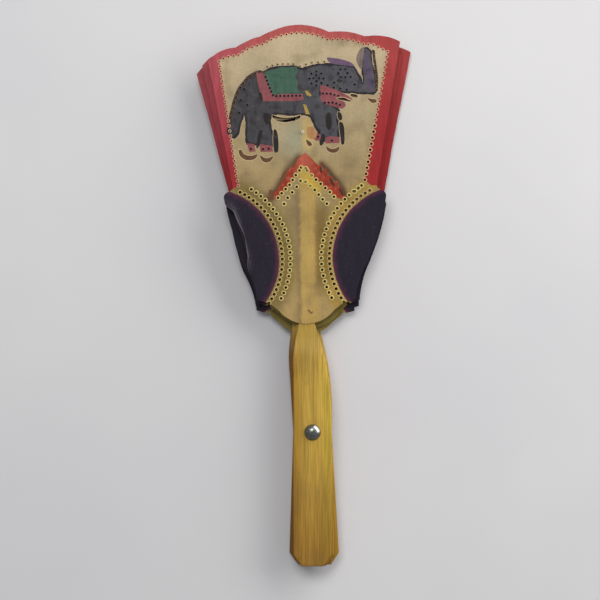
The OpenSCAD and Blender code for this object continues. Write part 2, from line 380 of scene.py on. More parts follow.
# Dark strokes beside the legs, each with a bare rim
LEG_STROKES = [
    [(-16, 156.6), (-14.2, 156.8), (-13.4, 152), (-13.5, 146), (-15, 145.2), (-16, 146.4)],
    [(17.6, 165.9), (19.4, 165.2), (19.9, 162.2), (18.6, 161.4), (17.6, 163)],
    [(18.1, 160.4), (20.2, 160), (20.9, 155), (20.8, 149.4), (19.2, 149.2), (18.6, 154.6)],
]
DARK_SPOTS = [
    [(-23.2, 156.8), (-21.2, 156.6), (-22.4, 152.6), (-23.6, 148.4), (-24.9, 147.9), (-24.6, 151.4)],
    [(9.2, 154.6), (10.8, 154), (10.4, 150.4), (8.8, 148.6), (7.8, 149.6)],
    [(-20.9, 165.6), (-17.6, 165.4), (-17.5, 160.8), (-19.6, 159.8), (-20.8, 162)],
    [(11.8, 165.2), (14.2, 164.8), (14.2, 158), (12.8, 156.4), (11.4, 158.6)],
    [(-23.4, 176.6), (-21.8, 176.4), (-21.2, 173), (-22.6, 172.6)],
]

# The singed lines along the rump and the trunk, which hold their dots
RUMP_LINE = [(-22.3, 187.4), (-26, 186), (-30.4, 182.4), (-33.8, 177.5), (-36.2, 170.8), (-37.9, 164)]
# The rump's singed line runs on to the side of the tail, without dots
TAIL_SIDE = (-38.4, 158.6)
TRUNK_LINE = [(36.4, 197.2), (37.4, 190), (38.1, 182), (37.9, 177)]
# Where the chevron and the painted shade round it need a finer mesh
CHEVRON_AREA = [(-22, 117), (23, 117), (24, 130), (4, 149), (-3, 149), (-21, 130)]

ELEPHANT_EDGE = smooth(ELEPHANT, cuts=2)


def crown_border():
    """The inner edge of the red along the crown, which follows the crown's scallops."""
    line = []
    for a, b, rise in zip(CROWN, CROWN[1:], CROWN_RISE):
        line += [(x, y - CROWN_BORDER) for x, y in arc(a, b, rise, 12)]
    line = [p for p in line if BORDER_TOP_LEFT[0] + 1 < p[0] < 36]
    return [BORDER_TOP_LEFT] + line + [BORDER_TOP_RIGHT]


def lobe_arc(side, r, start, end, n=24):
    """An arc about a lobe's centre. side is -1 on the left and 1 on the right."""
    line = corner((-LOBE_CENTRE_X, LOBE_CENTRE_Y), r, start, end, n)
    return [(-side * x, y) for x, y in line]


def panel():
    """The part of the leaf inside the red border."""
    left = [(-36, 127.2), BORDER_FOOT_LEFT]
    right = [BORDER_FOOT_RIGHT, (34.5, 127.6), (60, 126.5), (60, 40), (-60, 40), (-60, 126.5)]
    return left + crown_border() + right


def lobe(side):
    """A dark lobe: what lies inside the circle about its centre, below the notch."""
    line = lobe_arc(side, LOBE_ARC_R, 70, -70)
    return line + [(side * 60, 52), (side * 60, 126.5), (side * 46, 126)]


def chevron():
    """The chevron's edge: outside down both arms, and inside along its first rows of holes."""
    left = smooth(CHEVRON_LEFT, closed=False, cuts=2)
    inner = CHEVRON_ROW_RIGHT[::-1] + [CHEVRON_APEX] + CHEVRON_ROW_LEFT
    return left[::-1] + CHEVRON_RIGHT + CHEVRON_FEET[:1] + inner + CHEVRON_FEET[1:]


def curved(shapes):
    return [smooth(shape, cuts=2) for shape in shapes]


def rims(shapes, width):
    """The shapes' edges moved outwards, for the bare rim of a cut or a stroke."""
    return [inset(clockwise(shape), -width) for shape in curved(shapes)]


def leaf_regions():
    """Each painted region as its paint and its edge, in the order in which they are painted."""
    body = clockwise(divided(ELEPHANT_EDGE, 1.2))
    layers = [
        ("red", [[(-80, 40), (-80, 230), (80, 230), (80, 40)]]),
        ("hide", [panel()]),
        ("purple", [lobe(-1), lobe(1)]),
        ("chevron", [chevron()]),
        ("outline", [wobbled(inset(body, -0.6), 0.5, 2.2, 8)]),
        ("grey", [wobbled(inset(body, 0.6), 0.6, 2.6, 12)]),
        ("singed", [wobbled(strip(RUMP_LINE + [TAIL_SIDE], 0.95), 0.4, 2.2, 8)]),
        ("trunk", [TRUNK]),
        ("stripe", [TRUNK_STRIPE]),
        ("singed", [strip(TRUNK_LINE, 0.7)]),
        ("lobe_leaf", curved([TRUNK_LEAF])),
        ("green", [SADDLE_CLOTH]),
        ("rose", [CLOTH_TRIM_SIDE, CLOTH_TRIM_FOOT] + curved([JAW_UPPER, JAW_LOWER])),
        ("lilac", curved([HEADDRESS])),
        ("ochre", COLLAR_GAPS),
        ("rose", RED_FEET),
        ("orange", curved([ORANGE_FOOT])),
        # painted shade between the chevron's flames
        ("flame_gap_shade", curved(FLAME_SPOTS)),
        # painted shade along the chevron's soft left edge
        ("chevron_edge_shade", curved(EDGE_SPOTS)),
        ("cut_rim", rims(TOES + CUTS, 0.42) + rims(LEG_STROKES, 0.25)),
        # painted shade: the toes' brown stands for shaded hide seen through an opening
        ("brown", curved(TOES)),
        ("black", curved(DARK_SPOTS + LEG_STROKES + [EYE])),
    ]
    return [(paint, shape) for paint, shapes in layers for shape in shapes]


# Each kind of punched hole: its radius, the width of its rim, and the rim's paint
HOLE_KINDS = {
    "border": (0.42, 0.45, "rim_red"),
    "lobe": (0.86, 0.42, "rim_lobe"),
    "mark": (0.74, 0.5, "rim"),
    "large": (0.74, 0.42, "rim_border"),
    "band": (0.78, 0.5, "rim"),
    "back": (0.34, 0.32, "rim_dot"),
    "singed": (0.46, 0.3, "rim_singed"),
    "dot": (0.4, 0.26, "rim_grey"),
}


def leaf_holes():
    """Every punched hole as x, y, its radius, the width of its rim, and the rim's paint."""
    border = row([BORDER_FOOT_LEFT, BORDER_TOP_LEFT], 2.6) + row(crown_border(), 2.7)[1:]
    border += row([BORDER_TOP_RIGHT, BORDER_MID_RIGHT], 2.7)[1:]
    lobes, bands = [], []
    for side in (-1, 1):
        lobes += row(lobe_arc(side, 39.2, 63, -35.5), 2.75)
        bands += row(lobe_arc(side, 43.4, 57, -28), 3.1)
    bands += row([(25.8, 124.6), (29.4, 127.6)], 3)
    marks = []
    for line in (CHEVRON_ROW_LEFT, CHEVRON_ROW_RIGHT):
        marks += row([CHEVRON_APEX] + line[1:], 3.2)[1:] + line[:1]
    for line in (SECOND_ROW_LEFT, SECOND_ROW_RIGHT):
        marks += row(line, 3.4)
    large = row([BORDER_MID_RIGHT, BORDER_FOOT_RIGHT], 3.3)[1:]
    groups = [("border", border), ("lobe", lobes), ("mark", marks), ("large", large), ("band", bands)]
    return [(x, y, *HOLE_KINDS[kind]) for kind, places in groups + elephant_dots() for x, y in places]


def elephant_dots():
    """The small holes that dot the elephant's edge, its saddle cloth, ear, jaw and trunk, by kind."""
    back = row([(-18.6, 189.8), (-12, 191.2), (-5, 191)], 2.5)
    brow = row([(-1.6, 189.8), (4, 191.6), (11, 192)], 3)
    cloth = row([(-19.6, 184.6), (-17.2, 178), (-15.6, 174.6), (-9, 174.6), (-1.8, 174.6)], 2.1)
    ear = circle((6.8, 183.4), 3.6, 8) + circle((6.8, 183.6), 1.5, 4)
    head = circle((20.6, 186), 2.4, 6) + [(24.6, 184), (16, 181.2), (26.6, 180)]
    jaw = row([(10, 175.6), (14, 175.4), (18, 174.2)], 2)
    jaw += row([(11, 170.8), (15.6, 170.8), (18.8, 169.6)], 2)
    cheek = row([(9.4, 181.2), (15.6, 178.6), (22.4, 177.4)], 3.2)
    feet = [(-27.6, 147.4), (-21.4, 147.2), (-18.4, 147.4), (14.4, 151.2), (7.2, 153.2)]
    hip = [(-30.8, 178.4), (-32.6, 172.8), (-29.2, 170.2), (-33.4, 166.2)]
    return [
        ("back", back + brow),
        ("singed", row(RUMP_LINE, 2.6) + row(TRUNK_LINE, 2.5)),
        ("dot", cloth + ear + head + jaw + cheek + feet + hip),
    ]


# ---------------------------------------------------------------- paints

# Screen colours, from 0 to 255
PAINTS = {
    "red": (150, 40, 42), "hide": (166, 145, 105), "purple": (35, 30, 42), "chevron": (146, 52, 32),
    "outline": (40, 37, 39), "grey": (64, 62, 65), "trunk": (82, 76, 84), "stripe": (84, 70, 98),
    "lobe_leaf": (122, 108, 98), "green": (62, 92, 76), "rose": (134, 74, 78), "lilac": (102, 80, 104),
    "ochre": (170, 140, 70), "orange": (172, 126, 82), "brown": (94, 68, 46), "black": (38, 35, 34),
    "rim_red": (190, 146, 116), "rim": (204, 184, 114), "rim_lobe": (190, 166, 104),
    "rim_border": (196, 164, 116), "rim_dot": (150, 132, 100), "rim_grey": (50, 48, 50),
    # The chevron's two dark brown spot paints are painted shade, between its flames and along its left edge
    "cut_rim": (184, 160, 126), "flame_gap_shade": (74, 42, 32), "chevron_edge_shade": (104, 70, 46),
    "singed": (66, 50, 46), "rim_singed": (98, 78, 62),
}
PAINT_NAMES = list(PAINTS)
BARE_RIMS = ("rim_red", "rim", "rim_lobe", "rim_border", "rim_dot", "cut_rim")
BARE = ("hide", "ochre", *BARE_RIMS)
NO_MOTTLE = ("hide", "red", "rim_grey", "rim_singed", *BARE_RIMS)
# The bare hide's colour at some heights, from the lip to the crown
HIDE_STOPS = [(56, (172, 144, 92)), (84, (158, 134, 84)), (112, (148, 128, 86)), (134, (160, 138, 96)),
              (160, (166, 148, 112)), (206, (184, 166, 134))]


def linear(colour):
    """A screen colour from 0 to 255 as linear light."""
    c = np.asarray(colour, float) / 255
    return np.where(c <= 0.04045, c / 12.92, ((c + 0.055) / 1.055) ** 2.4)


def blend(base, colour, weight):
    """Each of the colours moved towards one screen colour by its own weight."""
    return base + (linear(colour) - base) * np.asarray(weight)[:, None]


def washed(colours, washes):
    """The colours under several washes, each a screen colour and its weight at each point."""
    for tint, weight in washes:
        colours = blend(colours, tint, weight)
    return colours


def hide_colour(points):
    """The bare hide's colour at each point: the bands of yellow, the tongue that shows through, and painted
    shade beside the tongue and round the chevron's outer edges.
    """
    x, y = points[:, 0], points[:, 1]
    heights = [stop[0] for stop in HIDE_STOPS]
    colours = np.array([linear(stop[1]) for stop in HIDE_STOPS])
    base = np.stack([np.interp(y, heights, colours[:, i]) for i in range(3)], axis=1)

    def band(side):
        r = np.hypot(x - side * LOBE_CENTRE_X, y - LOBE_CENTRE_Y)
        return between(r, 36, 38.5, 43, 48) * (1 - ramp(y, 126, 140))

    def along(line, width):
        return np.exp(-((distance(points, line) / width) ** 2))

    tongue = between(x, -3.3, -2.5, 4, 8) * (1 - ramp(y, 118, 168))
    shade = between(x, -6.5, -3.4, -3.4, -2.6) * (1 - ramp(y, 110, 140))
    beside = between(x, 4, 6, 10, 13.5) * between(y, 66, 80, 112, 124)
    ashen = np.exp(-(((x + 4) / 9) ** 2) - ((y - 152) / 10) ** 2)
    glow = (1 - ramp(np.abs(x - 2), 1, 4.5)) * between(y, 144, 150, 158, 172)
    return washed(base, [
        ((116, 98, 46), 0.8 * band(-1)),
        ((158, 128, 58), 0.8 * band(1)),
        ((184, 152, 84), 0.8 * tongue),
        ((118, 100, 70), 0.6 * shade),
        ((118, 92, 42), 0.7 * beside),
        ((148, 146, 122), 0.85 * ashen),
        ((194, 162, 58), 0.8 * along(BRIGHT_BAND, 3)),
        ((198, 168, 96), 0.75 * glow),
        # painted shade: a soft dark band outside the chevron's left edge, and one along the tips of its
        # flames
        ((82, 56, 36), 0.95 * along(CHEVRON_LEFT[1:], 2.4)),
        ((80, 50, 34), 0.95 * along(FLAME_TIPS, 1.9)),
    ])


def paint_colour(points, numbers):
    """The colour at each point under its own paint, and how much ink it has."""
    x, y = points[:, 0], points[:, 1]
    colour = np.array([linear(PAINTS[name]) for name in PAINT_NAMES])[numbers]
    on = {name: numbers == i for i, name in enumerate(PAINT_NAMES)}
    colour = np.where(on["hide"][:, None], hide_colour(points), colour)

    def among(names):
        return np.isin(numbers, [PAINT_NAMES.index(name) for name in names])

    blotch = field(points, 3.1, 17) + 0.7 * field(points, 1.3, 23)
    worked = ramp(y, 140, 148) * (np.abs(x) < 41) * ~among(NO_MOTTLE)
    depth = np.where(on["grey"] | on["trunk"], 0.55, 0.3)
    halo = np.exp(-((distance(points, ELEPHANT_EDGE, closed=True) / 0.9) ** 2))
    halo = halo * ramp(field(points, 2.4, 31), -0.3, 0.3)
    stain = ramp(field(points, 9, 5) + 0.6 * field(points, 3.5, 6), 0, 0.7)
    r = np.hypot(np.abs(x) - LOBE_CENTRE_X, y - LOBE_CENTRE_Y)
    colour = washed(colour, [
        # The red border is lighter towards the crown, and pinker on the left, where a painted haze of glare
        # lies on it
        ((172, 88, 84), on["red"] * 0.72 * ramp(y, 150, 204) * (1 - 0.55 * ramp(x, 20, 42))),
        ((166, 74, 88), on["red"] * 0.5 * ramp(-x, 18, 40) * ramp(y, 130, 165)),
        # The elephant is lighter towards its head, and its paints are mottled
        ((80, 80, 85), on["grey"] * 0.7 * ramp(x, -30, 30)),
        ((32, 29, 30), depth * worked * ramp(blotch, 0.05, 0.6)),
        ((120, 110, 102), 0.2 * worked * ramp(-blotch, 0.35, 0.8)),
        # The chevron is blotched in places and worn in others
        ((108, 38, 28), on["chevron"] * 0.5 * ramp(field(points, 2.2, 41), 0, 0.5)),
        ((190, 104, 84), on["chevron"] * 0.45 * ramp(field(points, 1.7, 47), 0.15, 0.5)),
        # The hide is paler close round the elephant, and stained in clouds
        ((196, 168, 148), on["hide"] * 0.55 * halo),
        ((122, 104, 76), on["hide"] * 0.38 * stain),
        # The chevron's apex is paler, and the lobes are redder along their inner edge
        ((184, 98, 78), on["chevron"] * 0.6 * (1 - ramp(np.abs(x), 0, 7))),
        ((92, 40, 66), on["purple"] * 0.7 * ramp(r, 35.2, 37)),
    ])
    return colour, np.where(among(BARE), 0.0, 1.0)


# ---------------------------------------------------------------- flat sheets with holes

def triangulated(outline, regions, openings, lines, grid, seed, fine):
    """The points and triangles of a flat sheet, cut along every given line.

    Loose points fill it about grid apart, with more in the fine areas, half as far apart.
    Returns the points, the triangles and the number of the region that holds each triangle."""
    loops = [outline] + [loop for _, loop in regions] + openings
    points, edges = [], []
    for loop in loops:
        first = len(points)
        points += loop
        edges += [(first + i, first + (i + 1) % len(loop)) for i in range(len(loop))]
    for line in lines:
        first = len(points)
        points += line
        edges += [(first + i, first + i + 1) for i in range(len(line) - 1)]
    points += filling(outline, grid, seed)
    points += [p for area in fine for p in filling(area, 0.5 * grid, seed + 1)]
    result = delaunay_2d_cdt([Vector(p) for p in points], edges, [], 0, 1e-4)
    pts = np.array([tuple(v) for v in result[0]])
    tris = np.array([f for f in result[2] if len(f) == 3])
    middle = pts[tris].mean(axis=1)
    keep = inside(middle, outline)
    for opening in openings:
        keep &= ~inside(middle, opening)
    tris, middle = tris[keep], middle[keep]
    number = np.zeros(len(tris), int)
    for i, (_, loop) in enumerate(regions):
        number[inside(middle, loop)] = i
    used, tris = np.unique(tris, return_inverse=True)
    return pts[used], counter_clockwise(pts[used], tris.reshape(-1, 3)), number


def filling(outline, grid, seed):
    """Loose points inside an outline, about grid apart."""
    rng = np.random.default_rng(seed)
    edge = np.array(outline)
    low, high = edge.min(axis=0), edge.max(axis=0)
    xs, ys = np.meshgrid(np.arange(low[0], high[0], grid), np.arange(low[1], high[1], grid))
    pts = np.stack([xs.ravel(), ys.ravel()], axis=1) + rng.uniform(-0.3, 0.3, (xs.size, 2)) * grid
    pts = pts[inside(pts, outline)]
    pts = pts[distance(pts, outline, closed=True) > 0.4 * grid]
    return [tuple(p) for p in pts]


def counter_clockwise(points, tris):
    """The triangles, each turned so that it faces up."""
    a, b, c = (points[tris[:, i]] for i in range(3))
    turn = (b[:, 0] - a[:, 0]) * (c[:, 1] - a[:, 1]) - (b[:, 1] - a[:, 1]) * (c[:, 0] - a[:, 0])
    return np.where((turn > 0)[:, None], tris, tris[:, ::-1])


def rim_edges(tris):
    """The edges that only one triangle has, each in its triangle's own direction."""
    edges = np.concatenate([tris[:, [0, 1]], tris[:, [1, 2]], tris[:, [2, 0]]])
    seen = {(a, b) for a, b in edges.tolist()}
    return np.array([(a, b) for a, b in edges.tolist() if (b, a) not in seen])


def plate(name, points, tris, top, back, colours, place, plane_seed):
    """A closed sheet between two surfaces, with its colours and its own plane's coordinates.

    colours holds one row of red, green, blue and ink for each corner: of the top's triangles,
    then the back's. Its last item gives the same rows for the cut edge at any points."""
    count = len(points)
    walls = rim_edges(tris)
    upper = place(np.column_stack([points, top]))
    lower = place(np.column_stack([points, back]))
    faces = tris.tolist() + (tris[:, ::-1] + count).tolist()
    faces += [(b, a, a + count, b + count) for a, b in walls.tolist()]
    mesh = bpy.data.meshes.new(name)
    mesh.from_pydata(np.concatenate([upper, lower]).tolist(), [], faces)
    front_rgba, back_rgba, edge_colour = colours
    wall_corners = np.stack([walls[:, 1], walls[:, 0], walls[:, 0], walls[:, 1]], axis=1).ravel()
    rgba = np.concatenate([front_rgba, back_rgba, edge_colour(points[wall_corners])])
    paint = mesh.color_attributes.new("paint", "FLOAT_COLOR", "CORNER")
    paint.data.foreach_set("color", rgba.astype(np.float32).ravel())
    plane = mesh.attributes.new("plane", "FLOAT_VECTOR", "POINT")
    flat = np.column_stack([points * MM, np.full(count, plane_seed)])
    plane.data.foreach_set("vector", np.concatenate([flat, flat]).astype(np.float32).ravel())
    return finished(name, mesh)


def finished(name, mesh, angle=40):
    """An object for a mesh, smooth except at its sharp corners."""
    mesh.validate()
    mesh.shade_smooth()
    mesh.set_sharp_from_angle(angle=math.radians(angle))
    return linked(name, mesh)


def linked(name, data):
    """A new object in the scene that holds a mesh, a light or a camera."""
    obj = bpy.data.objects.new(name, data)
    bpy.context.scene.collection.objects.link(obj)
    return obj


def solid(name, verts, faces, angle):
    mesh = bpy.data.meshes.new(name)
    mesh.from_pydata(verts, [], faces)
    return finished(name, mesh, angle)


def register(piece, material, k, node):
    """Gives a piece its material and its blade, and hides the CAD part that it stands for."""
    piece.data.materials.append(material)
    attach(piece, f"blade_{k}")
    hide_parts(node)


# ---------------------------------------------------------------- where each blade is

def blade_z(k):
    """Height of the back of blade k's stick, in millimetres."""
    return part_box(f"stick_{k}")[0][2] / MM


def blade_turn(k):
    """Turn of blade k about the rivet in the closed fan, read from where its upper tie is."""
    low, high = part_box(f"upper_tie_{k}")
    now = math.atan2(low[1] + high[1], low[0] + high[0])
    return now - math.atan2(UPPER_TIE[1], UPPER_TIE[0])


def turned(points, angle):
    """The points turned about the rivet's axis by an angle in radians."""
    c, s = math.cos(angle), math.sin(angle)
    x, y = points[:, 0], points[:, 1]
    moved = points.copy()
    moved[:, 0], moved[:, 1] = c * x - s * y, s * x + c * y
    return moved


def on_blade(k):
    """A function that puts blade points, in millimetres, in their place in metres."""
    angle, z = blade_turn(k), blade_z(k)
    return lambda points: (turned(points, angle) + [0, 0, z]) * MM


def on_tongue(k, shape=None):
    """As on_blade, for points in the leaf's own plane. shape bends them first."""
    blade = on_blade(k)

    def place(points):
        if shape:
            points = shape(points)
        local = turned(points, math.radians(LEAF_TURNS[k - 1]))
        return blade(local + [LEAF_SHIFTS[k - 1], -LEAF_DROPS[k - 1], TONGUE_T])
    return place


# ---------------------------------------------------------------- materials

def new_material(name):
    """A material, its shader, a helper that adds a node and one that joins a socket to the shader."""
    material = bpy.data.materials.new(name)
    material.use_nodes = True
    tree = material.node_tree
    shader = tree.nodes["Principled BSDF"]

    def add(kind, links=None, **values):
        node = tree.nodes.new(kind)
        for key, value in values.items():
            if key in node.inputs:
                node.inputs[key].default_value = value
            else:
                setattr(node, key, value)
        for socket, source in (links or {}).items():
            tree.links.new(source, node.inputs[socket])
        return node

    def join(source, socket):
        tree.links.new(source, shader.inputs[socket])
    return material, shader, add, join


def scaled_noise(add, coords, stretch, scale, detail=3.0, rough=0.55):
    """Noise on coordinates that are first multiplied by stretch."""
    mapping = add("ShaderNodeMapping", {"Vector": coords})
    mapping.inputs["Scale"].default_value = stretch
    texture = add("ShaderNodeTexNoise", {"Vector": mapping.outputs["Vector"]},
                  Scale=scale, Detail=detail, Roughness=rough)
    return texture.outputs["Fac"]


def mixed(add, factor, a, b, mode="MIX"):
    """A colour mix of sockets or plain colours."""
    node = add("ShaderNodeMix", data_type="RGBA", blend_type=mode)
    for slot, value in ((0, factor), (6, a), (7, b)):
        if isinstance(value, (float, int, tuple, list)):
            node.inputs[slot].default_value = value
        else:
            node.id_data.links.new(value, node.inputs[slot])
    return node.outputs[2]


def ranged(add, value, low, high, to_low, to_high):
    """A value from low to high, moved to the range from to_low to to_high."""
    node = add("ShaderNodeMapRange", {"Value": value})
    for key, number in (("From Min", low), ("From Max", high), ("To Min", to_low), ("To Max", to_high)):
        node.inputs[key].default_value = number
    return node.outputs["Result"]


def product(add, a, b):
    return add("ShaderNodeMath", {0: a, 1: b}, operation="MULTIPLY").outputs[0]


def toned(add, colour, strength):
    """A colour made darker or lighter by a value about 1."""
    grey = add("ShaderNodeCombineColor", {"Red": strength, "Green": strength, "Blue": strength})
    return mixed(add, 1.0, colour, grey.outputs["Color"], "MULTIPLY")


def bumped(add, join, height, strength, distance):
    bump = add("ShaderNodeBump", {"Height": height}, Strength=strength, Distance=distance)
    join(bump.outputs["Normal"], "Normal")


def hide_material():
    """Rawhide: mottled and fibrous where it is bare, with thin streaky ink where it is painted."""
    material, shader, add, join = new_material("rawhide_paint")
    paint = add("ShaderNodeAttribute", attribute_name="paint")
    where = add("ShaderNodeAttribute", attribute_name="plane").outputs["Vector"]
    cloud = scaled_noise(add, where, (1, 1, 1), 70, 5)
    speck = scaled_noise(add, where, (1, 1, 1), 900, 4, 0.7)
    fibre = scaled_noise(add, where, (1, 0.25, 1), 420, 5, 0.65)
    streak = scaled_noise(add, where, (1, 0.12, 1), 500, 4, 0.6)
    strand = scaled_noise(add, where, (1, 0.05, 1), 900, 4, 0.65)
    dust = scaled_noise(add, where, (1, 0.5, 1), 1500, 3, 0.6)
    grain = product(add, ranged(add, speck, 0.3, 0.7, 0.9, 1.09), ranged(add, strand, 0.3, 0.7, 0.95, 1.04))
    bare = product(add, ranged(add, cloud, 0.32, 0.68, 0.86, 1.12), grain)
    brush = ranged(add, streak, 0.3, 0.7, 0.86, 1.18)
    by_ink = {0: paint.outputs["Alpha"], 2: bare, 3: brush}
    strength = add("ShaderNodeMix", by_ink, data_type="FLOAT").outputs[0]
    colour = toned(add, paint.outputs["Color"], strength)
    fleck = ranged(add, dust, 0.64, 0.76, 0.0, 0.22)
    join(mixed(add, fleck, colour, (0.46, 0.37, 0.22, 1)), "Base Color")
    join(ranged(add, fibre, 0.3, 0.7, 0.42, 0.62), "Roughness")
    bumped(add, join, mixed(add, 0.5, fibre, speck), 0.35, 0.00012)
    shader.inputs["Specular IOR Level"].default_value = 0.15
    return material


def bamboo_material():
    """Split bamboo: long fibres, darker bundles, and a little polish from handling."""
    material, shader, add, join = new_material("bamboo_grain")
    paint = add("ShaderNodeAttribute", attribute_name="paint")
    where = add("ShaderNodeAttribute", attribute_name="plane").outputs["Vector"]
    broad = scaled_noise(add, where, (1, 0.05, 1), 220, 3)
    fine = scaled_noise(add, where, (1, 0.025, 1), 1500, 4, 0.65)
    bundle = scaled_noise(add, where, (1, 0.012, 1), 900, 2, 0.5)
    stain = scaled_noise(add, where, (1, 0.6, 1), 60, 4)
    tone = product(add, ranged(add, broad, 0.3, 0.7, 0.8, 1.16), ranged(add, fine, 0.34, 0.66, 0.72, 1.18))
    colour = toned(add, paint.outputs["Color"], tone)
    dark = ranged(add, bundle, 0.58, 0.72, 0.0, 0.34)
    colour = mixed(add, dark, colour, (0.16, 0.085, 0.022, 1))
    soiled = ranged(add, stain, 0.52, 0.75, 0.0, 0.4)
    join(mixed(add, soiled, colour, (0.20, 0.11, 0.03, 1)), "Base Color")
    join(ranged(add, fine, 0.3, 0.7, 0.34, 0.52), "Roughness")
    bumped(add, join, fine, 0.4, 0.00015)
    shader.inputs["Specular IOR Level"].default_value = 0.25
    return material


def steel_material():
    """Plated steel with fine scratches and a few dull patches."""
    material, shader, add, join = new_material("rivet_plate")
    place = add("ShaderNodeTexCoord").outputs["Object"]
    patch = ranged(add, scaled_noise(add, place, (1, 1, 1), 500, 4), 0.35, 0.7, 0, 1)
    scratch = scaled_noise(add, place, (1, 0.06, 1), 6000, 3, 0.7)
    join(mixed(add, patch, (0.30, 0.31, 0.29, 1), (0.12, 0.125, 0.11, 1)), "Base Color")
    join(ranged(add, scratch, 0.3, 0.7, 0.2, 0.36), "Roughness")
    bumped(add, join, scratch, 0.25, 0.00004)
    shader.inputs["Metallic"].default_value = 1.0
    return material


def cord_material(name, dark, light):
    """Twisted cord or thread, with a fine slanted ply."""
    material, _, add, join = new_material(name)
    place = add("ShaderNodeTexCoord").outputs["Object"]
    ply = scaled_noise(add, place, (1, 1, 2), 5000, 3, 0.6)
    join(mixed(add, ranged(add, ply, 0.35, 0.65, 0, 1), dark, light), "Base Color")
    join(ranged(add, ply, 0.3, 0.7, 0.55, 0.85), "Roughness")
    bumped(add, join, ply, 0.6, 0.0001)
    return material


def floor_material():
    """Pale studio paper, a little uneven in tone."""
    material, shader, add, join = new_material("studio_paper")
    place = add("ShaderNodeTexCoord").outputs["Object"]
    cloud = ranged(add, scaled_noise(add, place, (1, 1, 1), 6, 3), 0.35, 0.65, 0, 1)
    join(mixed(add, cloud, (0.65, 0.64, 0.65, 1), (0.69, 0.68, 0.68, 1)), "Base Color")
    shader.inputs["Roughness"].default_value = 0.9
    return material


# ---------------------------------------------------------------- leaves

# How far the hide stands up round a hole and round a cut
HOLE_RISE = 0.12
CUT_RISE = 0.06


def leaf_template():
    """The flat leaf that all five share, with its paint numbers and its rims' height."""
    outline = wobbled(divided(leaf_outline(), 1.5), 0.12, 4, 3)
    regions = [(paint, wobbled(divided(loop, 1.6), 0.25, 5, 3)) for paint, loop in leaf_regions()]
    holes = leaf_holes()
    cuts = [wobbled(divided(smooth(cut, cuts=3), 1), 0.15, 3, 5) for cut in CUTS]
    openings, lines = list(cuts), []
    for x, y, r, rim, paint in holes:
        openings.append(circle((x, y), r, 12))
        regions.append((paint, circle((x, y), r + rim, 14)))
        lines.append(circle((x, y), r + 0.5 * rim, 12))
    lines = [line + line[:1] for line in lines]
    points, tris, region = triangulated(outline, regions, openings, lines, 1.9, 7, [ELEPHANT, CHEVRON_AREA])
    names = np.array([PAINT_NAMES.index(paint) for paint, _ in regions])
    rise = np.zeros(len(points))
    for x, y, r, rim, _ in holes:
        d = np.hypot(points[:, 0] - x, points[:, 1] - y) - r
        rise = np.maximum(rise, HOLE_RISE * np.clip(1 - np.abs(d - 0.25 * rim) / rim, 0, 1))
    for cut in cuts:
        d = distance(points, cut, closed=True)
        rise = np.maximum(rise, CUT_RISE * np.clip(1 - d / 0.7, 0, 1))
    return points, tris, names[region], rise


def leaf_colours(points, tris, numbers):
    """Corner colours of the front and the back. The back's paint is the same, thin and dull."""
    corners = tris.ravel()
    which = np.repeat(numbers, 3)
    colour, ink = paint_colour(points[corners], which)
    front = np.column_stack([colour, ink])
    hide = hide_colour(points[corners])
    soaked = which == PAINT_NAMES.index("purple")
    soft = colour + (hide - colour) * np.where(soaked, 0.03, np.where(ink > 0, 0.3, 1))[:, None]
    back = np.column_stack([soft * 0.86, 0.7 * ink])
    back = back.reshape(-1, 3, 4)[:, ::-1].reshape(-1, 4)
    return front, back, hide_edge


def hide_edge(points):
    """The cut edge takes some of the ink beside it: dark in the lobes, red along the border."""
    x, y = np.abs(points[:, 0]), points[:, 1]
    colour = np.tile(linear((138, 112, 70)), (len(points), 1))
    outer = ramp(x - 0.17 * (y - 68), 18, 23)
    colour = blend(colour, (88, 78, 92), outer * (1 - ramp(y, 125, 127)))
    border = np.maximum(ramp(x - 0.17 * (y - 127), 32, 35), ramp(y - 0.2 * (50 - x), 188, 193))
    colour = blend(colour, (112, 34, 36), border * ramp(y, 126, 128))
    return np.column_stack([colour, np.zeros(len(points))])


def cockled(points, k):
    """The slight ripple of stiff dried hide, in millimetres."""
    slow = field(points, 34, 10 + 7 * k)
    quick = field(points, 11, 40 + 5 * k)
    return 0.22 * slow + 0.07 * quick


# How far the front leaf's left lobe turns over, in radians, across the width that curls
CURL_TURN = 2.8
CURL_W = 6.3


def curled_lobe(points):
    """Rolls the front leaf's left lobe up and over, along a line beside its outer edge."""
    foot, head = np.array(FOLD_FOOT), np.array(FOLD_HEAD)
    along = (head - foot) / np.linalg.norm(head - foot)
    out = np.array([-along[1], along[0]])
    rel = points[:, :2] - foot
    reach = rel @ out
    run = rel @ along
    turn = CURL_TURN * between(run, 13, 25, 48, 56) * (1 - 0.3 * ramp(run, 32, 48))
    curve = turn / CURL_W
    bent = (reach > 0) & (curve > 1e-4) & (run < 60)
    k = np.where(bent, curve, 1)
    a = np.where(bent, k * reach, 0)
    lift = points[:, 2]
    side = np.where(bent, np.sin(a) / k - lift * np.sin(a), reach)
    height = np.where(bent, (1 - np.cos(a)) / k + lift * np.cos(a), lift)
    moved = points.copy()
    moved[:, :2] = foot + side[:, None] * out + run[:, None] * along
    moved[:, 2] = height
    return moved


def olive(rgba, points, tris):
    """Painted shade along the lip of the rear leaves, olive as the translucent hide looks under the leaf in
    front.
    """
    corners = points[tris.ravel()]
    shaded = rgba.copy()
    weight = 0.75 * (1 - ramp(corners[:, 1], 66, 78)) * (rgba[:, 3] == 0)
    shaded[:, :3] = blend(rgba[:, :3], (118, 108, 44), weight)
    return shaded


